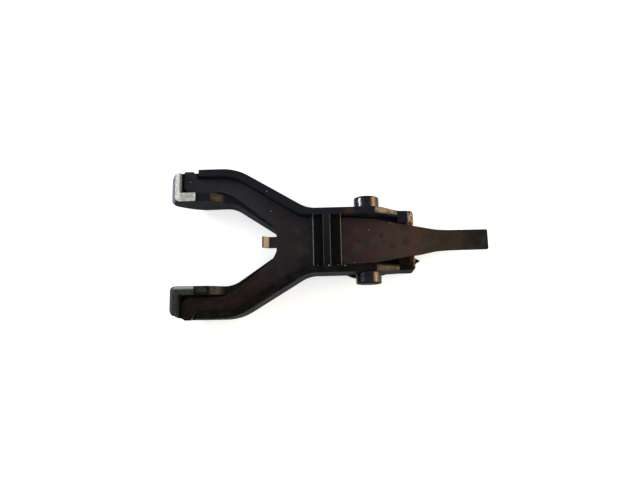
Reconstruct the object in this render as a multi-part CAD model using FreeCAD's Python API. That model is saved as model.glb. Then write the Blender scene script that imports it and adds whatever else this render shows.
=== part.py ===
"""Clutch fork: a forged Y-shaped body with trunnion pins, and a flat leaf plate lying in it.

Frame: origin at the middle of the bounding box's footprint, on the base; +X runs from the
claws to the plate's tail, +Z runs up from the flat base, and +Y makes it right-handed.
Units are millimetres.
"""
import FreeCAD, Part
import math
import os

V = FreeCAD.Vector
REACH = 80.0           # half span of the cutting solids, past the forging on every side

# ---- driving dimensions -------------------------------------------------------------
NOSE_X = -116.6        # furthest reach of the claws' rounded noses
TAIL_X = 116.6         # end of the plate's tail
HEIGHT = 30.0          # base to the tops of the rails, walls and claws
ARM_OUT = 54.4         # outer face of an arm, from the middle plane
ARM_WIDTH = 23.4       # outer face to inner face of an arm
ARM_IN = ARM_OUT - ARM_WIDTH
CLAW_IN = ARM_IN - 0.6             # inner face at the claw's nose
CLAW_WALL_OUT = ARM_IN + 6.2       # outer face of the claw's inner wall
CLAW_END_OUT = ARM_OUT - 2.4       # outer end of the claw's end wall
END_WALL_X = -108.8    # inner face of the claw's end wall
NOSE_TOP_X = NOSE_X + 4.6          # top edge of the nose
CORNER_X = 6.2         # rounding of the nose's outer corner, along the fork
CORNER_Y = 9.5         # the same across it
BASE_R = 3.0           # rounding of the forging's lower edges
RAIL_WIDTH = 4.9
RAIL_IN = ARM_OUT - RAIL_WIDTH     # inner face of a rail, straight part
RAIL_END_X = -96.7     # where the rails begin, at the seat
PAD_END_X = -97.0      # end of the raised worn pad on the claw
PAD_STEP = 1.2
RAMP_TOP_X = -87.2
RAMP_END_X = -76.1
FLOOR_Z = HEIGHT - 9.1             # seat of the leaf plate
CROTCH_X = -38.2
SHANK_OUT = 23.45      # outer face of a shank wall
SHANK_IN = 18.85       # inner face of a shank wall
SLOPE_X0 = 32.9        # where the wall tops begin to fall
SLOPE_X1 = 50.4
LUG_Z = HEIGHT - 11.3              # top of the rear lugs
REAR_X = 62.3          # rear end of the forging
REAR_R = 4.2
SLOT_HALF = 13.25      # half width of the slot between the rear lugs
STRAP_X0 = -12.1
STRAP_X1 = 8.4
STRAP_Z0 = HEIGHT - 6.65
STRAP_Z1 = HEIGHT - 3.0
RIB_X0 = -4.7
RIB_X1 = 0.8
PIN_X = 27.6
PIN_Z = HEIGHT - 9.7
PIN_R = 9.25
PIN_END = 31.7
PIN_CHAMFER = 1.0
BOSS_TOP_Z = 6.4
PLATE_T = 2.0
PLATE_Z = FLOOR_Z + PLATE_T        # top of the plate in the arms
TAIL_Z = HEIGHT - 16.0             # top of the plate at its tail
BEND_X0 = 10.0
BEND_X1 = 68.0
TAIL_HALF = 7.45
TAB_OUT = ARM_OUT + 0.65           # outer edge of the plate's tabs
GAP = 0.45             # plate edge to rail
TONGUE_HALF = 4.05


# ---- helpers ------------------------------------------------------------------------
def corner_points(pts):
    """Split each corner (x, y, r) of a closed polygon into straight ends and an arc.

    For a corner of radius r between unit directions u (in) and w (out), the tangent
    length is t = r * tan(angle / 2), where angle is the turn from u to w.
    """
    out = []
    n = len(pts)
    for i in range(n):
        px, py, _ = pts[i - 1]
        cx, cy, r = pts[i]
        nx, ny, _ = pts[(i + 1) % n]
        c = V(cx, cy, 0)
        u = (c - V(px, py, 0)).normalize()
        w = (V(nx, ny, 0) - c).normalize()
        turn = math.acos(max(-1.0, min(1.0, u.dot(w))))
        if r <= 0 or turn < 1e-4:
            out.append((c, None, c))
            continue
        t = r * math.tan(turn / 2)
        a = c - u * t
        b = c + w * t
        bis = (w - u).normalize()
        mid = c + bis * (r / math.cos(turn / 2) - r)
        out.append((a, mid, b))
    return out


def rounded_wire(pts, z=0.0):
    """Closed wire in a plane of constant z through (x, y, r) corners."""
    cp = corner_points(pts)
    edges = []
    n = len(cp)
    lift = V(0, 0, z)
    for i in range(n):
        a, mid, b = cp[i]
        if mid is not None:
            edges.append(Part.Arc(a + lift, mid + lift, b + lift).toShape())
        nxt = cp[(i + 1) % n][0]
        if (nxt - b).Length > 1e-6:
            edges.append(Part.makeLine(b + lift, nxt + lift))
    return Part.Wire(edges)


def plan_solid(pts, z0, z1):
    """Extrude a plan outline from z0 to z1."""
    return Part.Face(rounded_wire(pts, z0)).extrude(V(0, 0, z1 - z0))


def side_solid(pts, y0, y1):
    """Extrude a side outline of (x, z, r) corners from y0 to y1."""
    wire = rounded_wire(pts)
    wire.rotate(V(0, 0, 0), V(1, 0, 0), 90)
    wire.translate(V(0, y0, 0))
    return Part.Face(wire).extrude(V(0, y1 - y0, 0))


def side_profile(pts, x0, x1):
    """Extrude a cross outline of (y, z, r) corners from x0 to x1."""
    wire = rounded_wire(pts)
    wire.rotate(V(0, 0, 0), V(1, 1, 1), 120)
    wire.translate(V(x0, 0, 0))
    return Part.Face(wire).extrude(V(x1 - x0, 0, 0))


def mirrored(pts):
    """Upper half outline followed by its mirror image in the middle plane."""
    return pts + [(x, -y, r) for x, y, r in reversed(pts)]


def fillet_where(shape, radius, pick):
    """Round every edge that pick accepts."""
    edges = [e for e in shape.Edges if pick(e)]
    return shape.makeFillet(radius, edges)


def box_of(edge):
    b = edge.BoundBox
    return b.XMin, b.XMax, b.YMin, b.YMax, b.ZMin, b.ZMax


# ---- forged body --------------------------------------------------------------------
def body_outline(flare):
    """Plan outline of the forging; flare moves the fork's inner faces into the gap."""
    half = [
        (CROTCH_X - 0.9 * flare, 9.0 - 0.5 * flare, 6.0),
        (-70.2 - 1.9 * flare, ARM_IN - 0.5 * flare, 20.0),
        (NOSE_X - 4.0, CLAW_IN - 0.5 * flare, 0.0),
        (NOSE_X - 4.0, CLAW_END_OUT, 0.0),
        (END_WALL_X - 0.7, CLAW_END_OUT, 2.5),
        (END_WALL_X + 2.5, ARM_OUT, 2.5),
        (-67.3, ARM_OUT, 38.0),
        (-15.8, SHANK_OUT, 22.0),
        (39.8, SHANK_OUT, 30.0),
        (SLOPE_X1, SHANK_OUT - 1.5 + 0.8 * flare, 60.0),
        (REAR_X, SHANK_OUT - 1.8 + 1.1 * flare, 2.8),
    ]
    return mirrored(half)


low = rounded_wire(body_outline(1.4), 0.0)
high = rounded_wire(body_outline(-0.6), HEIGHT)
body = Part.makeLoft([low, high], True, True)

# Rounded noses: seen from the side each claw's underside sweeps up to a blunt toe.
toe = Part.BSplineCurve()
toe.interpolate([V(NOSE_X + back, -REACH, HEIGHT * share) for back, share in (
    (NOSE_TOP_X - NOSE_X, 1.0), (1.45, 0.84), (0.0, 0.66), (1.1, 0.493), (4.7, 0.35), (9.4, 0.21),
    (14.8, 0.09), (19.8, 0.02), (25.3, 0.0))])
TOE_END_X = NOSE_X + 25.3
toe_edges = [
    toe.toShape(),
    Part.makeLine(V(TOE_END_X, -REACH, 0), V(REACH, -REACH, 0)),
    Part.makeLine(V(REACH, -REACH, 0), V(REACH, -REACH, HEIGHT)),
    Part.makeLine(V(REACH, -REACH, HEIGHT), V(NOSE_TOP_X, -REACH, HEIGHT)),
]
toe_env = Part.Face(Part.Wire(toe_edges)).extrude(V(0, 2 * REACH, 0))
body = body.common(toe_env)


def lower_edge(edge):
    x0, x1, y0, y1, z0, z1 = box_of(edge)
    toe_edge = x0 < NOSE_TOP_X and z1 - z0 > 20
    return toe_edge or z1 < 0.01


body = fillet_where(body, BASE_R, lower_edge)

# The +Y claw's end wall leans outward on its way down to the seat; the other hardly does.
for side, lean in ((1, 2.4), (-1, 1.1)):
    leaning = side_profile([
        (46.0, HEIGHT, 0.0),
        (CLAW_END_OUT, HEIGHT, 0.0),
        (CLAW_END_OUT + lean, FLOOR_Z, 0.0),
        (CLAW_END_OUT + lean, 15.0, 0.0),
        (46.0, 10.0, 0.0),
    ], NOSE_X + 2.3, END_WALL_X + 2.8)
    corner = plan_solid([
        (NOSE_X + 2.3, 49.0, 0.0),
        (END_WALL_X - 0.8, ARM_OUT + 0.2, 0.0),
        (END_WALL_X + 2.8, ARM_OUT + 0.2, 0.0),
        (END_WALL_X + 2.8, 46.0, 0.0),
        (NOSE_X + 2.3, 46.0, 0.0),
    ], 0.0, HEIGHT)
    wedge = leaning.common(corner).common(toe_env)
    if side < 0:
        wedge = wedge.mirror(V(0, 0, 0), V(0, 1, 0))
    body = body.fuse(wedge)

# Rounded outer corners of the claws' noses: quarter ellipses in plan.
for side in (1, -1):
    cx = NOSE_X + CORNER_X
    cy = side * (CLAW_END_OUT - CORNER_Y)
    far = side * 80.0
    quarter = Part.BSplineCurve()
    quarter.interpolate([
        V(cx - CORNER_X * math.cos(math.radians(a)), cy + side * CORNER_Y * math.sin(math.radians(a)), -5)
        for a in range(0, 91, 30)])
    ring = [
        quarter.toShape(),
        Part.makeLine(V(cx, cy + side * CORNER_Y, -5), V(cx, far, -5)),
        Part.makeLine(V(cx, far, -5), V(NOSE_X - 20, far, -5)),
        Part.makeLine(V(NOSE_X - 20, far, -5), V(NOSE_X - 20, cy, -5)),
        Part.makeLine(V(NOSE_X - 20, cy, -5), V(NOSE_X, cy, -5)),
    ]
    body = body.cut(Part.Face(Part.Wire(ring)).extrude(V(0, 0, HEIGHT + 10.0)))

# Channel that holds the leaf plate, open outwards through the notches beside the claws.
half_channel = [
    (END_WALL_X, CLAW_WALL_OUT, 1.6),
    (END_WALL_X, 60.0, 0.0),
    (RAIL_END_X, 60.0, 0.0),
    (RAIL_END_X, RAIL_IN, 0.0),
    (-69.8, RAIL_IN, 30.0),
    (-20.8, SHANK_IN, 20.0),
    (SLOPE_X1, 17.8, 0.0),
    (SLOPE_X1, SLOT_HALF, 0.0),
    (80.0, SLOT_HALF, 0.0),
]
channel = plan_solid(
    half_channel + [(x, -y, r) for x, y, r in reversed(half_channel)]
    + [(RAMP_END_X, -CLAW_WALL_OUT, 0.0), (RAMP_END_X, CLAW_WALL_OUT, 0.0)],
    -5.0, 45.0)
SLOPE = (PLATE_Z - TAIL_Z) / (BEND_X1 - BEND_X0)
UNDER = PLATE_T / math.cos(math.atan(SLOPE))


def plate_under(x):
    """Height of the plate's lower face where it slopes towards the tail."""
    return PLATE_Z - SLOPE * (x - BEND_X0) - UNDER


floor_line = side_solid([
    (-140.0, FLOOR_Z, 0.0),
    (BEND_X0 - 5.5, FLOOR_Z, 0.0),
    (BEND_X0 + 5.0, FLOOR_Z - 2.6, 0.0),
    (SLOPE_X1, plate_under(SLOPE_X1) - 2.6, 0.0),
    (SLOPE_X1, plate_under(SLOPE_X1), 0.0),
    (80.0, plate_under(80.0), 0.0),
    (80.0, 60.0, 0.0),
    (-140.0, 60.0, 0.0),
], -80.0, 80.0)
body = body.cut(channel.common(floor_line))

# Claw inner walls: a raised pad, a lower step behind it, then a ramp down to the seat.
for side in (1, -1):
    step = side_solid([
        (PAD_END_X, 40.0, 0.0),
        (PAD_END_X, HEIGHT - PAD_STEP, 0.0),
        (RAMP_TOP_X, HEIGHT - PAD_STEP, 3.0),
        (RAMP_END_X, FLOOR_Z, 0.0),
        (-66.0, FLOOR_Z, 0.0),
        (-66.0, 40.0, 0.0),
    ], min(side * 24.0, side * CLAW_WALL_OUT), max(side * 24.0, side * CLAW_WALL_OUT))
    body = body.cut(step)

# The rails' ends lean back from the notch.
rail_end = side_solid([
    (RAIL_END_X - 1.0, HEIGHT + 4.0, 0.0),
    (RAIL_END_X - 1.0, FLOOR_Z + 2.5, 0.0),
    (RAIL_END_X, FLOOR_Z + 2.5, 0.0),
    (RAIL_END_X + 1.9, HEIGHT + 0.4, 0.0),
    (RAIL_END_X + 1.9, HEIGHT + 4.0, 0.0),
], -60.0, 60.0)
inner_keep = Part.makeBox(30.0, 2 * CLAW_WALL_OUT, 60.0, V(RAIL_END_X - 10.0, -CLAW_WALL_OUT, -10.0))
body = body.cut(rail_end.cut(inner_keep))

# Wall tops fall towards the rear lugs, which end in a rounded nose.
rear_cut = side_solid([
    (SLOPE_X0, HEIGHT, 1.5),
    (SLOPE_X1, LUG_Z, 3.0),
    (REAR_X, LUG_Z, REAR_R),
    (REAR_X, -20.0, 0.0),
    (90.0, -20.0, 0.0),
    (90.0, 50.0, 0.0),
    (SLOPE_X0 - 8.0, 50.0, 0.0),
    (SLOPE_X0 - 8.0, HEIGHT, 0.0),
], -60.0, 60.0)
body = body.cut(rear_cut)

# Strap across the channel, with a rib along its middle level with the wall tops.
strap = Part.makeBox(STRAP_X1 - STRAP_X0, 2 * SHANK_IN + 2.0, STRAP_Z1 - STRAP_Z0,
                     V(STRAP_X0, -SHANK_IN - 1.0, STRAP_Z0))
rib = Part.makeBox(RIB_X1 - RIB_X0, 2 * SHANK_IN + 2.0, HEIGHT - STRAP_Z1 + 1.0,
                   V(RIB_X0, -SHANK_IN - 1.0, STRAP_Z1 - 1.0))
strap = strap.fuse(rib).removeSplitter()


def strap_edge(edge):
    x0, x1, y0, y1, z0, z1 = box_of(edge)
    along = y1 - y0 > 30 and x1 - x0 < 0.01
    return along and z1 > STRAP_Z1 - 0.01 and not (
        abs(z1 - STRAP_Z1) < 0.01 and (abs(x0 - RIB_X0) < 0.01 or abs(x0 - RIB_X1) < 0.01))


strap = strap.makeFillet(0.7, [e for e in strap.Edges if strap_edge(e)])
body = body.fuse(strap)

# Short lip beside the strap's forward edge.
lip = side_solid([
    (STRAP_X0 + 1.0, STRAP_Z0, 0.0),
    (STRAP_X0 - 2.1, STRAP_Z0, 0.0),
    (STRAP_X0 - 2.1, STRAP_Z0 + 1.6, 0.6),
    (STRAP_X0 - 0.2, STRAP_Z1 - 0.8, 0.0),
    (STRAP_X0 + 1.0, STRAP_Z1 - 0.8, 0.0),
], 9.6, SHANK_IN + 0.5)
body = body.fuse(lip)

# Low swell of each wall under and beside its pin, and the pins themselves.
SWELL = [(-16.2, -0.6), (-14.4, 0.1), (-12.4, 1.0), (-9.6, 1.9), (-4.0, 2.7), (3.0, 2.3), (8.8, 0.8),
         (12.4, 0.1), (15.0, -0.6)]
for side in (1, -1):
    pts = [V(PIN_X + x, side * (SHANK_OUT + y), 0) for x, y in SWELL]
    curve = Part.BSplineCurve()
    curve.interpolate(pts)
    back_a = V(PIN_X + 15.0, side * (SHANK_OUT - 2.2), 0)
    back_b = V(PIN_X - 16.2, side * (SHANK_OUT - 2.2), 0)
    wire = Part.Wire([
        curve.toShape(),
        Part.makeLine(pts[-1], back_a),
        Part.makeLine(back_a, back_b),
        Part.makeLine(back_b, pts[0]),
    ])
    swell = Part.Face(wire).extrude(V(0, 0, BOSS_TOP_Z))
    lid = side_solid([
        (PIN_X - 20, -1.0, 0.0),
        (PIN_X + 20, -1.0, 0.0),
        (PIN_X + 20, 4.0, 0.0),
        (PIN_X + 8.0, BOSS_TOP_Z, 5.0),
        (PIN_X - 8.0, BOSS_TOP_Z, 5.0),
        (PIN_X - 20, 4.0, 0.0),
    ], -40.0, 40.0)
    body = body.fuse(swell.common(lid))

for side in (1, -1):
    # The pin's end is rounded by two short bevels of PIN_CHAMFER in all.
    profile = [
        V(0, SHANK_IN + 1.0, 0),
        V(PIN_R, SHANK_IN + 1.0, 0),
        V(PIN_R, PIN_END - PIN_CHAMFER, 0),
        V(PIN_R - 0.3 * PIN_CHAMFER, PIN_END - 0.3 * PIN_CHAMFER, 0),
        V(PIN_R - PIN_CHAMFER, PIN_END, 0),
        V(0, PIN_END, 0),
    ]
    pin = Part.Face(Part.makePolygon(profile + [profile[0]])).revolve(V(0, 0, 0), V(0, 1, 0), 360)
    if side < 0:
        pin = pin.mirror(V(0, 0, 0), V(0, 1, 0))
    pin.translate(V(PIN_X, 0, PIN_Z))
    body = body.fuse(pin)

# Pointed spur standing out of the rear lug on the -Y side.
spur_pts = [V(57.0, -12.9, 0), V(62.6, -13.2, 0), V(65.9, -15.0, 0), V(62.4, -17.3, 0), V(57.0, -18.2, 0)]
spur = Part.Face(Part.makePolygon(spur_pts + [spur_pts[0]])).extrude(V(0, 0, 3.6))
spur.translate(V(0, 0, 10.6))
body = body.fuse(spur)
body = body.removeSplitter()


# ---- leaf plate ---------------------------------------------------------------------
plate_half = [
    (CROTCH_X - 0.6, 6.7, 1.5),
    (CROTCH_X - 3.6, 12.9, 8.0),
    (-63.6, ARM_IN - 0.7, 0.0),
    (-70.0, ARM_IN + 4.0, 14.0),
    (-78.5, CLAW_WALL_OUT + 1.4, 8.0),
    (-103.7, CLAW_WALL_OUT + 1.4, 0.6),
    (-107.3, CLAW_WALL_OUT + 5.1, 0.6),
    (-107.3, TAB_OUT - 0.6, 0.4),
    (-106.7, TAB_OUT, 0.4),
    (-100.5, TAB_OUT, 0.5),
    (-99.2, TAB_OUT - 1.9, 1.0),
    (-97.3, RAIL_IN - GAP, 0.8),
    (-69.95, RAIL_IN - GAP, 30.0),
    (-21.6, 18.85, 8.0),
    (-15.0, 17.3, 20.0),
    (14.0, 17.3, 40.0),
    (34.0, 16.1, 30.0),
    (51.5, 12.9, 60.0),
    (68.0, 10.25, 60.0),
    (79.0, 8.05, 30.0),
    (88.0, TAIL_HALF + 0.1, 20.0),
    (TAIL_X, TAIL_HALF, 1.2),
]
tongue_root = [(CROTCH_X - 0.5, TONGUE_HALF, 0.0)]
other_half = [(x, -y, r) for x, y, r in plate_half]
other_half[7] = (-107.3, 2.4 - TAB_OUT, 0.5)      # this tab's corner is cut off further
other_half[8] = (-105.0, -TAB_OUT, 0.6)
plate_plan = plan_solid(
    tongue_root + plate_half + other_half[::-1] + [(CROTCH_X - 0.5, -TONGUE_HALF, 0.0)], 0.0, 60.0)
plate_side = side_solid([
    (-120.0, PLATE_Z, 0.0),
    (BEND_X0, PLATE_Z, 60.0),
    (BEND_X1, TAIL_Z, 60.0),
    (130.0, TAIL_Z, 0.0),
    (130.0, TAIL_Z - PLATE_T, 0.0),
    (BEND_X1 - 0.08, TAIL_Z - PLATE_T, 62.0),
    (BEND_X0 - 0.08, PLATE_Z - PLATE_T, 58.0),
    (-120.0, PLATE_Z - PLATE_T, 0.0),
], -70.0, 70.0)
plate = plate_plan.common(plate_side)

# Tongue over the crotch, its end curled up.
tongue = side_solid([
    (-34.0, PLATE_Z, 0.0),
    (-34.0, PLATE_Z - PLATE_T, 0.0),
    (-44.6, PLATE_Z - PLATE_T, 3.2),
    (-48.9, PLATE_Z + 2.2, 0.0),
    (-47.7, PLATE_Z + 3.8, 0.0),
    (-43.9, PLATE_Z, 1.6),
], -TONGUE_HALF, TONGUE_HALF)
plate = plate.fuse(tongue).removeSplitter()


# ---- export -------------------------------------------------------------------------
def single(shape, name):
    """Return the one solid of a shape and refuse anything else."""
    solids = shape.Solids
    if len(solids) != 1 or not solids[0].isValid():
        raise ValueError("%s: %d solids" % (name, len(solids)))
    return solids[0]


os.makedirs("parts", exist_ok=True)
nodes = {
    "fork_body": single(body, "fork_body"),
    "leaf_plate": single(plate, "leaf_plate"),
}
for name, shape in nodes.items():
    box = shape.BoundBox
    shape.exportStep("parts/%s.step" % name)
    print("%s: %.1f cm3, x %.2f to %.2f, y %.2f to %.2f, z %.2f to %.2f" % (
        name, shape.Volume / 1000.0, box.XMin, box.XMax, box.YMin, box.YMax, box.ZMin, box.ZMax))
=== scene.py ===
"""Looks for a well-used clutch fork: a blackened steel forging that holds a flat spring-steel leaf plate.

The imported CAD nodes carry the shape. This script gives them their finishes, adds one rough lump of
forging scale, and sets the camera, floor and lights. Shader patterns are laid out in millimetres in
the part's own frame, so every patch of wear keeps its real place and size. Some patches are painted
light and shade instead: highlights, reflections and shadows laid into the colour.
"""
import math

import bpy
import numpy as np
from mathutils import Matrix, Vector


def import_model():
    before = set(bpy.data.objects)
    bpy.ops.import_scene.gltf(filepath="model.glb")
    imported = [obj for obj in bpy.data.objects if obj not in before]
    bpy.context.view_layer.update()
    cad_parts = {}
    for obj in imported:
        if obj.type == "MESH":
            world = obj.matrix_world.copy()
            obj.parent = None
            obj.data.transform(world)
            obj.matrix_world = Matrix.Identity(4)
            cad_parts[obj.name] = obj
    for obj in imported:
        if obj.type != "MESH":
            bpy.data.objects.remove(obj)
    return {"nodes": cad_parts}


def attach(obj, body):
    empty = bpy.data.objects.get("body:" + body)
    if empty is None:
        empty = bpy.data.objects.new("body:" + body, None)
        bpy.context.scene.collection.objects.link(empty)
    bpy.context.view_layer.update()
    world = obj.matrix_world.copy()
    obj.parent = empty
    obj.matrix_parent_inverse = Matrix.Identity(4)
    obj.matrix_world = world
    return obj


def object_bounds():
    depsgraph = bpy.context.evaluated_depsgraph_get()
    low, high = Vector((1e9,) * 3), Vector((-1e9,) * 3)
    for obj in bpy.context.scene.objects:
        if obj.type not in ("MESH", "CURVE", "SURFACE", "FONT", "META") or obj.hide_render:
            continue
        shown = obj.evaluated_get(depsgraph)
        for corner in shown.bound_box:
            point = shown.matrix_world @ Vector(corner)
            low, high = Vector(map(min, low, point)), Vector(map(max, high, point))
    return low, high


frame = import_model()
cad_low, cad_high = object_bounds()

MM = 0.001

# ---- the part's own places, in millimetres -------------------------------------------
CLAW_TOP = 30.0         # tops of the claws, rails and walls, above the base
STEP_TOP = 28.8         # lower step behind each claw's pad
NOSE_TOP = -112.0       # top edge of the claws' noses
END_WALL = -108.8       # inner face of the claws' end walls
PAD_END = -97.0         # end of the worn pads, along the claws' inner walls
STEP_END = -87.2        # the step turns into the ramp
RAMP_END = -76.1        # foot of the ramp, at the plate's seat
STRAP = (-12.1, 8.4)
STRAP_TOP = 27.0        # top of the strap's low strips
RIB = (-4.7, 0.8)
SHANK_IN = 18.85
SHANK_OUT = 23.45
SLOPE = (32.9, 50.4)    # where the walls' tops fall
REAR = 62.3
PIN_X = 27.6
PIN_Z = 20.3
PIN_R = 9.25
PIN_END = 31.7

# bright nicks (x, y, radius), and stains of the plate's heat tint (x, y, radius, colour)
STEEL_NICKS = ((-44.8, 36.7, 0.25), (-8.8, -18.4, 0.3), (-0.8, -18.7, 0.35), (5.8, -18.1, 0.3),
               (10.6, -19.0, 0.3))
PLATE_NICKS = ((28.8, 7.9, 0.2), (44.6, 13.3, 0.2), (17.7, -16.2, 0.2), (-102.6, 47.1, 0.3),
               (-42.7, 23.3, 0.3))
PLATE_STAINS = ((37.9, 4.0, 1.6, "221f24"), (56.1, -0.8, 2.2, "24212c"), (22.0, -13.1, 1.0, "2b1a18"),
                (-18.7, -14.7, 4.0, "1b1a10"))
PLATE_SCRATCH = ((15.7, 2.4), (28.0, -4.7))     # its two ends


# ---- colours and shader nodes --------------------------------------------------------
def colour(code):
    """Linear colour from an sRGB hex code."""
    out = []
    for i in (0, 2, 4):
        c = int(code[i:i + 2], 16) / 255
        out.append(c / 12.92 if c <= 0.04045 else ((c + 0.055) / 1.055) ** 2.4)
    return (*out, 1.0)


def add(tree, kind, values=None, **settings):
    """Add one shader node and return its outputs; values are constants or sockets by input."""
    node = tree.nodes.new("ShaderNode" + kind)
    for key, value in settings.items():
        setattr(node, key, value)
    for key, value in (values or {}).items():
        if isinstance(value, bpy.types.NodeSocket):
            tree.links.new(value, node.inputs[key])
        else:
            node.inputs[key].default_value = value
    return node.outputs


def overlap(tree, first, *rest):
    """Where every mask is: their product."""
    for other in rest:
        first = add(tree, "Math", {0: first, 1: other}, operation="MULTIPLY")[0]
    return first


def union(tree, first, *rest):
    """Where any mask is: the greatest of them."""
    for other in rest:
        first = add(tree, "Math", {0: first, 1: other}, operation="MAXIMUM")[0]
    return first


def empty_tree(owner):
    """The owner's node tree, with nothing in it."""
    owner.use_nodes = True
    owner.node_tree.nodes.clear()
    return owner.node_tree


class Surface:
    """A finish built up coat by coat, with the coordinates and noises that its patterns share.

    noises gives each noise its blotch size in millimetres, detail and roughness.
    """

    def __init__(self, name, **noises):
        self.material = bpy.data.materials.new(name)
        self.tree = tree = empty_tree(self.material)
        metres = add(tree, "TexCoord")["Object"]
        self.place = add(tree, "VectorMath", {0: metres, 3: 1 / MM}, operation="SCALE")[0]
        self.x, self.y, self.z = add(tree, "SeparateXYZ", {0: self.place})
        self.flat = add(tree, "CombineXYZ", {0: self.x, 1: self.y, 2: 0.0})[0]
        normal = add(tree, "NewGeometry")["Normal"]
        self.nx, _, self.nz = add(tree, "SeparateXYZ", {0: normal})
        self.base = None
        self.noise = {}
        for key, (size, detail, roughness) in noises.items():
            self.noise[key] = add(tree, "TexNoise", {"Vector": self.place, "Scale": 1 / size,
                                                     "Detail": detail, "Roughness": roughness})[0]

    def uneven(self, value, size, amount):
        """The same coordinate, shifted by noise so that borders on it are uneven."""
        tree = self.tree
        waves = add(tree, "TexNoise", {"Vector": self.place, "Scale": 1 / size, "Detail": 3.0,
                                       "Roughness": 0.55})[0]
        shift = add(tree, "Math", {0: waves, 1: 0.5}, operation="SUBTRACT")[0]
        return add(tree, "Math", {0: shift, 1: amount, 2: value}, operation="MULTIPLY_ADD")[0]

    def border(self, value, low, high, reach=(0.0, 1.0)):
        """From reach's first number at low to its second at high, by a smooth step.

        value is a coordinate, a mask or the name of one of the noises.
        """
        value = self.noise.get(value, value) if isinstance(value, str) else value
        return add(self.tree, "MapRange", {0: value, 1: low, 2: high, 3: reach[0], 4: reach[1]},
                   interpolation_type="SMOOTHSTEP")[0]

    def band(self, value, low, high, soft):
        """1 between low and high, fading out over soft on each side."""
        return overlap(self.tree, self.border(value, low - soft, low + soft),
                       self.border(value, high + soft, high - soft))

    def spot(self, x, y, radius, soft):
        """A round mark at (x, y) seen from above."""
        far = add(self.tree, "VectorMath", {0: self.flat, 1: (x, y, 0.0)}, operation="DISTANCE")[1]
        return self.border(far, radius + soft, radius - soft)

    def line(self, start, end, width):
        """A scratch between two places seen from above: a band along it times a ridge across it."""
        tree = self.tree
        length = math.dist(start, end)
        ux, uy = (end[0] - start[0]) / length, (end[1] - start[1]) / length
        away = add(tree, "VectorMath", {0: self.flat, 1: (*start, 0.0)}, operation="SUBTRACT")[0]
        along = add(tree, "VectorMath", {0: away, 1: (ux, uy, 0.0)}, operation="DOT_PRODUCT")[1]
        across = add(tree, "VectorMath", {0: away, 1: (uy, -ux, 0.0)}, operation="DOT_PRODUCT")[1]
        across = add(tree, "Math", {0: across}, operation="ABSOLUTE")[0]
        return overlap(tree, self.band(along, 0.0, length, 1.0), self.border(across, width, 0.0))

    def tone(self, spec):
        """A colour from a hex code, or a mix (mask, first, second) of two such."""
        if isinstance(spec, str):
            return colour(spec)
        if isinstance(spec, tuple):
            mask, first, second = spec
            return add(self.tree, "Mix", {0: mask, 6: self.tone(first), 7: self.tone(second)},
                       data_type="RGBA")[2]
        return spec

    def paint(self, mask, spec):
        """Lay a coat over what is there already."""
        self.base = self.tone((mask, self.base, spec))

    def finish(self, metallic, roughness, bump, bump_mm, edge_mm):
        """Join the shader: base colour, rounded edges and a fine bump."""
        tree = self.tree
        edge = add(tree, "Bevel", {"Radius": edge_mm * MM}, samples=6)[0]
        normal = add(tree, "Bump", {"Strength": 1.0, "Distance": bump_mm * MM, "Height": bump,
                                    "Normal": edge})[0]
        shader = add(tree, "BsdfPrincipled", {"Base Color": self.base, "Metallic": metallic,
                                              "Roughness": roughness, "Specular IOR Level": 0.01,
                                              "Normal": normal})[0]
        add(tree, "OutputMaterial", {"Surface": shader})
        return self.material


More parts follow.
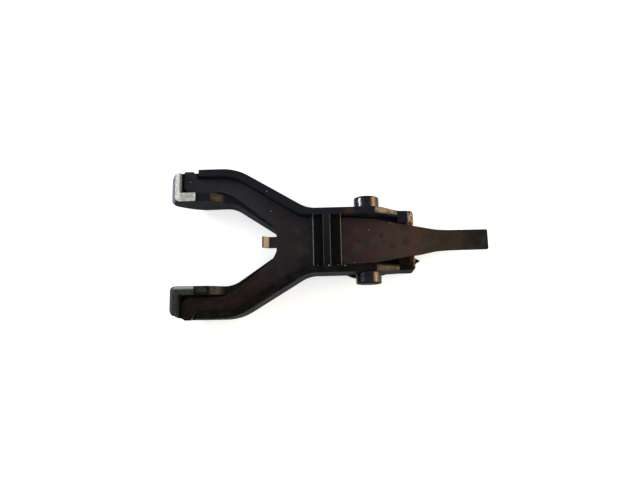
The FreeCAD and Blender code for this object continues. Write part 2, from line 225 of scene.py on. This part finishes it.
# ---- finishes ------------------------------------------------------------------------
def forged_steel():
    """Steel forged hot and left under its black oxide scale: matt, almost black, with cloudy grey patches.

    It shows the metal where the bearing rubs the claws and on the sloping wall tops. Painted light lies
    over
    it: highlights on the pads, edges and leaning faces, a warm reflection on the pins, and shade along the
    arms, on upright faces and under the plate.
    """
    # clouds of scale 9 mm across, rubbing 3 mm, the scale's skin 2.2 mm; grit of 0.9 mm and pits of
    # 1.6 mm are drawn coarser than forging leaves them, because finer ones don't show
    s = Surface("forged_steel", clouds=(9.0, 4.0, 0.55), rub=(3.0, 5.0, 0.55), grit=(0.9, 5.0, 0.55),
                pits=(1.6, 4.0, 0.55), scale=(2.2, 5.0, 0.6))
    t = s.tree
    up = s.border(s.nz, 0.55, 0.9)
    across = s.border(s.y, -24.0, 24.0)
    half = s.border(s.y, -1.0, 1.0)

    # scale: brown-black on the -Y side, blue-black on the +Y side; faces that lean get a painted sheen,
    # greyer and bluer than the tops
    level = (across, "100f0e", "1b1e26")
    level = (overlap(t, s.border("clouds", 0.4, 0.7), 0.7), level, "1b1c1c")
    s.base = s.tone((up, (s.border("clouds", 0.35, 0.65), "1a1d24", "272a33"), level))
    # painted shade: along the arms, everything below the tops of claws and rails is darkened
    channel_shade = overlap(t, s.band(s.x, -112.0, -20.0, 1.0), s.border(s.z, CLAW_TOP - 0.2, CLAW_TOP - 1.0))
    s.paint(overlap(t, channel_shade, 0.5), "14181d")
    # painted shade: upright faces darker
    steep_face_shade = s.border(s.nz, 0.5, 0.2)
    s.paint(overlap(t, steep_face_shade, 0.9), (s.border("clouds", 0.35, 0.65), "15161a", "23252a"))

    # what leans back, the claws' ramp faces and the sloping wall tops, is scoured metal under a painted
    # sheen of the warm lamp, brighter on the +Y wall
    lean = overlap(t, s.border(s.nx, 0.25, 0.45), s.border(s.nz, 0.3, 0.5))
    ramp_wear_and_sheen = overlap(t, s.band(s.uneven(s.x, 3.0, 3.0), STEP_END + 0.6, RAMP_END - 2.0, 2.4), lean)
    wide = add(t, "Math", {0: s.uneven(s.y, 2.0, 1.2)}, operation="ABSOLUTE")[0]
    slope_wear_and_sheen = overlap(t, s.band(s.x, SLOPE[0], SLOPE[1] + 0.5, 0.8), lean, s.border(wide, 18.4, 19.8))
    bare_and_sheen = s.tone((s.border("rub", 0.35, 0.7), "1b1916", "2c2924"))
    s.paint(ramp_wear_and_sheen, bare_and_sheen)
    s.paint(slope_wear_and_sheen, (s.border("rub", 0.3, 0.7), (across, bare_and_sheen, "2b2823"), (across, bare_and_sheen, "4b463e")))

    # the rear lugs: painted shadow of the plate, near black, within the -Y one
    plate_shadow = overlap(t, s.border(s.x, 49.0, 53.0), s.border(s.y, -10.0, -12.0))
    s.paint(overlap(t, plate_shadow, 0.8), "0b0b0a")
    # painted warm highlight on the rounded rear noses, coppery and mottled, wider and stronger on the +Y
    # lug
    rear = s.uneven(s.x, 1.5, 1.0)
    nose_highlight = add(t, "Mix", {0: across, 2: s.border(rear, REAR - 2.3, REAR - 1.1),
                          3: s.border(rear, REAR - 5.3, REAR - 4.1)}, data_type="FLOAT")[0]
    nose_highlight = overlap(t, nose_highlight, s.border(s.x, REAR + 0.4, REAR + 0.15),
                   s.border(s.y, -24.0, 24.0, (0.35, 1.0)))
    s.paint(overlap(t, nose_highlight, s.border(s.z, 6.0, 14.0)), (s.border("pits", 0.4, 0.6), "3f332c", "9c876f"))

    # claw pads, scoured by the bearing, carry painted highlights: near white on the +Y one, dull on the
    # other with a bright painted line along its edge
    pad = overlap(t, s.border(s.uneven(s.x, 1.4, 1.2), PAD_END + 0.4, PAD_END - 0.3),
                  s.border(s.z, CLAW_TOP - 0.8, CLAW_TOP - 0.3), up)
    bar = overlap(t, s.border(s.x, END_WALL - 0.6, END_WALL + 1.4), s.border("rub", 0.2, 0.6), 0.75)
    white = (bar, (s.border("grit", 0.35, 0.7), "a9aeae", "eef1f2"), "83877f")
    edge = s.border(s.uneven(s.y, 1.0, 1.0), -33.8, -32.2)
    dull = (edge, (s.border("grit", 0.3, 0.75), "20231e", "3d413b"), "8f948c")
    s.paint(pad, (half, dull, white))

    # painted light on the claws' noses' leaning faces and on the end walls' faces towards the channel:
    # bright on the +Y claw, dark on the -Y one
    nose_face_highlight = overlap(t, s.border(s.x, NOSE_TOP + 0.6, NOSE_TOP - 0.4), s.border(s.z, 14.0, 20.0),
                        s.border(s.nx, -0.3, -0.6))
    s.paint(nose_face_highlight, (half, "3a3d40", "757984"))
    end_wall_light = overlap(t, s.band(s.x, END_WALL - 0.6, END_WALL + 0.6, 0.2), s.border(s.nx, 0.5, 0.9),
                     s.border(s.z, 22.0, 27.0))
    s.paint(end_wall_light, (half, "2c2e2c", "80868a"))

    # strap: its low strips stay almost black; painted highlights, broken up by noise, lie along its edges
    # and the rib's
    strap = overlap(t, s.band(s.x, STRAP[0], STRAP[1], 0.3), s.band(s.y, -SHANK_IN, SHANK_IN, 0.2))
    low = overlap(t, strap, s.band(s.z, STRAP_TOP - 1.0, STRAP_TOP + 0.3, 0.2), up)
    s.paint(low, (s.noise["clouds"], "0b0c0e", "111215"))
    strap_rear_highlight = overlap(t, strap, s.border(s.x, STRAP[1] - 0.5, STRAP[1] - 0.1),
                        s.border(s.z, STRAP_TOP - 1.6, STRAP_TOP - 1.0))
    s.paint(strap_rear_highlight, "8a8376")
    for x, code in ((STRAP[0] + 0.3, "74787a"), (RIB[0] + 0.3, "3c3d3a"), (RIB[1] - 0.3, "4a4b46")):
        strap_edge_highlight = overlap(t, strap, s.band(s.x, x - 0.25, x + 0.25, 0.15),
                         s.border(s.z, STRAP_TOP - 1.2, STRAP_TOP - 0.6), s.border("rub", 0.25, 0.5))
        s.paint(strap_edge_highlight, code)

    # thick scale left behind the -Y claw's pad
    crust = overlap(t, s.band(s.x, PAD_END - 1.0, STEP_END + 0.6, 0.4), s.band(s.y, -37.6, -30.4, 0.3),
                    s.border(s.z, STEP_TOP + 0.1, STEP_TOP + 0.5),
                    s.border(s.x, PAD_END - 0.4, PAD_END + 0.4))
    s.paint(crust, (s.border("clouds", 0.3, 0.7), "232622", "3f433d"))

    # pins: ground steel, with a painted warm reflection along their +X side above the axis and a painted
    # cool highlight on the +Y pin's -X side
    out = add(t, "Math", {0: s.y}, operation="ABSOLUTE")[0]
    pin_reach = PIN_R - 0.05
    pin = overlap(t, s.border(out, SHANK_OUT + 0.1, SHANK_OUT + 0.5),
                  s.border(out, PIN_END - 0.4, PIN_END - 1.0),
                  s.band(s.x, PIN_X - pin_reach, PIN_X + pin_reach, 0.1),
                  s.border(s.z, PIN_Z - 6.3, PIN_Z - 4.3))
    s.paint(pin, (s.border("rub", 0.3, 0.7), "1a1b1f", "26282c"))
    over = s.border(s.z, PIN_Z - 0.3, PIN_Z + 1.7)
    warm_reflection = overlap(t, pin, over, s.band(s.uneven(s.x, 1.2, 0.8), PIN_X + 3.0, PIN_X + 7.0, 1.2))
    s.paint(warm_reflection, (s.border("grit", 0.35, 0.65), "3f382d", "5c5140"))
    cool_highlight = overlap(t, pin, over, s.band(s.uneven(s.x, 1.0, 1.0), PIN_X - 6.2, PIN_X - 4.6, 0.9),
                    s.border(s.y, 0.0, 1.0), s.band(s.y, 24.5, 30.0, 1.0))
    s.paint(cool_highlight, (s.border("grit", 0.4, 0.6), "3c3f41", "a2a6a8"))

    for x, y, radius in STEEL_NICKS:
        s.paint(overlap(t, s.spot(x, y, radius, 0.25), up), "a8aaa6")
    s.paint(overlap(t, s.spot(14.7, 21.2, 3.0, 2.5), up, 0.5), "4a3029")

    polished = union(t, pin, slope_wear_and_sheen, ramp_wear_and_sheen)
    rough = add(t, "Mix", {0: polished, 2: 0.55, 3: 0.3}, data_type="FLOAT")[0]
    rough = add(t, "Mix", {0: pad, 2: rough, 3: 0.6}, data_type="FLOAT")[0]
    skin = add(t, "Mix", {0: 0.3, 2: s.noise["scale"], 3: s.noise["grit"]}, data_type="FLOAT")[0]
    return s.finish(union(t, polished, overlap(t, nose_highlight, 0.15)), rough, skin, bump_mm=0.22, edge_mm=0.6)


def spring_steel():
    """Rolled spring-steel strip with a dull heat tint: violet-brown by the strap, olive-grey behind."""
    # clouds of tint 11 mm across, waves 3 mm; the grit of 0.8 mm is drawn coarser than rolling leaves
    # it, because a finer one doesn't show
    s = Surface("spring_steel", clouds=(11.0, 4.0, 0.55), grit=(0.8, 4.0, 0.55), waves=(3.0, 5.0, 0.55))
    t = s.tree
    arms = (s.border(s.y, -30.0, 26.0), "1f1613", "2a2a30")
    middle = (s.border(s.x, -62.0, -30.0), arms, "242022")
    # painted light over the heat tint: brighter and warmer from X 8 to X 60, where the plate falls, dimmer
    # on to X 92 and darker on the flat tail
    right_tint_and_light = (s.border(s.x, 8.0, 60.0), "2e2125", "3d2e28")
    s.base = s.tone((s.border(s.x, -16.0, 10.0), middle, right_tint_and_light))
    s.paint(s.border(s.x, 62.0, 92.0), "2e261b")
    s.paint(s.border(s.x, 90.0, 112.0), "1c1a19")
    patchy = s.border(s.x, -40.0, 10.0, (0.25, 0.6))
    s.paint(overlap(t, s.border("clouds", 0.42, 0.62), patchy), "33312b")
    elsewhere = add(t, "VectorMath", {0: s.place, 1: (40.0, 17.0, 5.0)})[0]
    veil = add(t, "TexNoise", {"Vector": elsewhere, "Scale": 1 / 6.0, "Detail": 4.0, "Roughness": 0.55})[0]
    s.paint(overlap(t, s.border(veil, 0.47, 0.68), patchy), "1f2227")
    s.paint(overlap(t, s.border("grit", 0.45, 0.8), 0.35), "3c3836")

    for x, y, radius, code in PLATE_STAINS:
        s.paint(overlap(t, s.spot(x, y, radius, radius * 0.8), 0.75), code)
    for x, y, radius in PLATE_NICKS:
        s.paint(s.spot(x, y, radius, 0.25), "a39e98")
    s.paint(overlap(t, s.line(*PLATE_SCRATCH, width=0.6), 0.7), "191718")

    # painted highlights on the sheared edges, brighter on the tabs' front edges; painted shade on the
    # faces in the notches; a painted warm highlight on the tongue's curl
    rim_highlight = overlap(t, s.border(s.nz, 0.8, 0.3), s.border(s.x, -103.0, -106.0, (0.1, 0.7)))
    s.paint(rim_highlight, "6a645e")
    s.paint(overlap(t, s.border(s.nx, 0.2, 0.5), s.border(s.x, -97.0, -98.5)), "090909")
    s.paint(overlap(t, s.border(s.x, -43.5, -45.0), s.border(s.nx, 0.3, 0.6)), "8f846c")

    rough = s.border("clouds", 0.35, 0.7, (0.42, 0.56))
    skin = add(t, "Mix", {0: 0.4, 2: s.noise["waves"], 3: s.noise["grit"]}, data_type="FLOAT")[0]
    return s.finish(0.35, rough, skin, bump_mm=0.08, edge_mm=0.3)


# ---- floor, light and camera ---------------------------------------------------------
def seen_rays(tree):
    """1 for the rays that show a backdrop: those of the camera, of gloss and of glass."""
    rays = add(tree, "LightPath")
    return union(tree, rays["Is Camera Ray"], rays["Is Glossy Ray"], rays["Is Transmission Ray"])


def floor():
    """Plain white floor that keeps a faint shadow of the part."""
    half = 1.6
    mesh = bpy.data.meshes.new("floor")
    corners = [(-half, -half, 0), (half, -half, 0), (half, half, 0), (-half, half, 0)]
    mesh.from_pydata(corners, [], [(0, 1, 2, 3)])
    obj = bpy.data.objects.new("floor", mesh)
    obj.location.z = cad_low.z - 0.2 * MM
    bpy.context.scene.collection.objects.link(obj)
    material = bpy.data.materials.new("white_floor")
    tree = empty_tree(material)
    paper = add(tree, "BsdfDiffuse", {"Color": (0.8, 0.8, 0.8, 1)})[0]
    strength = overlap(tree, seen_rays(tree), 0.55)
    glow = add(tree, "Emission", {"Color": (1, 1, 1, 1), "Strength": strength})[0]
    add(tree, "OutputMaterial", {"Surface": add(tree, "AddShader", {0: paper, 1: glow})[0]})
    mesh.materials.append(material)


def world():
    """Even studio light, a little weaker than the white that the camera sees."""
    sky = bpy.data.worlds.new("studio")
    bpy.context.scene.world = sky
    tree = empty_tree(sky)
    strength = add(tree, "Mix", {0: seen_rays(tree), 2: 0.7, 3: 1.0}, data_type="FLOAT")[0]
    shade = add(tree, "Background", {"Color": (1, 1, 1, 1), "Strength": strength})[0]
    add(tree, "OutputWorld", {"Surface": shade})


def panel(name, azimuth, elevation, width, height, power, code):
    """Rectangular studio light aimed at the part; azimuth 0 is +X, turning towards +Y."""
    distance = 0.9
    lamp = bpy.data.lights.new(name, "AREA")
    lamp.shape = "RECTANGLE"
    lamp.size = width
    lamp.size_y = height
    lamp.energy = power
    lamp.color = colour(code)[:3]
    obj = bpy.data.objects.new(name, lamp)
    a, e = math.radians(azimuth), math.radians(elevation)
    aim = Matrix.Rotation(a + math.pi / 2, 4, "Z") @ Matrix.Rotation(math.pi / 2 - e, 4, "X")
    obj.matrix_world = Matrix.Translation((distance * math.cos(a) * math.cos(e),
                                           distance * math.sin(a) * math.cos(e),
                                           distance * math.sin(e))) @ aim
    bpy.context.scene.collection.objects.link(obj)


def camera():
    """Camera above the part, leaning a little, with its tilt given by three turns."""
    lens = bpy.data.cameras.new("camera")
    lens.sensor_width = 36.0
    lens.lens = 30.739
    lens.clip_start = 0.01
    obj = bpy.data.objects.new("camera", lens)
    turn = (Matrix.Rotation(math.radians(-1.2022), 4, "Z") @ Matrix.Rotation(math.radians(1.6089), 4, "Y")
            @ Matrix.Rotation(math.radians(9.9551), 4, "X"))
    obj.matrix_world = Matrix.Translation((2.55 * MM, -68.0 * MM, 414.0 * MM)) @ turn
    bpy.context.scene.collection.objects.link(obj)
    bpy.context.scene.camera = obj


# ---- pieces --------------------------------------------------------------------------
def forging_lump(material):
    """Low rough lump of scale left on the -Y claw, just behind its worn pad.

    A closed pebble: turn runs round it and fall from its top pole to its bottom pole. Its outline is a
    squared ellipse, its crown is an ellipsoid's with sets of waves laid over it, and its lower half is
    sunk in the claw.
    """
    middle_x, middle_y = -92.2, -33.7
    around, down = 48, 20
    turn = np.arange(around) * 2 * np.pi / around
    fall = np.linspace(0, np.pi, down + 1)[1:-1, None]
    squared = (np.abs(np.cos(turn)) ** 3 + np.abs(np.sin(turn)) ** 3) ** (-1 / 3)
    reach = np.sin(fall) ** 0.8 * squared * (1 + 0.06 * np.sin(5 * turn + 1) + 0.04 * np.sin(9 * turn))
    x = middle_x + 5.4 * reach * np.cos(turn)
    y = middle_y + 2.5 * reach * np.sin(turn)
    waves = 0.5 * np.sin(1.3 * x + 0.6 * y) + 0.35 * np.sin(2.9 * y - 1.7 * x + 2) + 0.25 * np.sin(4.1 * x)
    crown = np.cos(fall)
    ledge = 0.12 * (x < middle_x + 0.6) * (crown > 0.2)
    z = STEP_TOP - 0.25 + crown * (0.75 + 0.22 * waves * (crown > 0)) + ledge
    rings = np.stack([x, y, np.minimum(z, CLAW_TOP - 0.15)], axis=-1).reshape(-1, 3)
    poles = [[middle_x, middle_y, STEP_TOP + 0.6], [middle_x, middle_y, STEP_TOP - 1.0]]
    points = np.vstack([rings, poles]) * MM
    here = np.arange(around)
    after = (here + 1) % around
    ring = np.arange(down - 2)[:, None] * around
    quads = np.stack([ring + here, ring + around + here, ring + around + after, ring + after], axis=-1)
    last = (down - 2) * around
    top = np.stack([np.full(around, len(rings)), here, after], axis=-1)
    bottom = np.stack([last + after, last + here, np.full(around, len(rings) + 1)], axis=-1)
    mesh = bpy.data.meshes.new("forging_lump")
    mesh.from_pydata(points.tolist(), [], quads.reshape(-1, 4).tolist() + top.tolist() + bottom.tolist())
    mesh.shade_smooth()
    mesh.materials.append(material)
    lump = bpy.data.objects.new("forging_lump", mesh)
    bpy.context.scene.collection.objects.link(lump)
    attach(lump, "root")


def dress(node, material):
    """Give a CAD node its finish."""
    obj = frame["nodes"][node]
    obj.data.materials.clear()
    obj.data.materials.append(material)


steel = forged_steel()
dress("fork_body", steel)
forging_lump(steel)
dress("leaf_plate", spring_steel())
floor()
world()
panel("warm_window", azimuth=8, elevation=24, width=0.7, height=0.35, power=6.0, code="ffdfae")
panel("cool_strip", azimuth=160, elevation=28, width=0.25, height=0.2, power=3.0, code="eef4ff")
camera()
bpy.context.scene.view_settings.view_transform = "Standard"
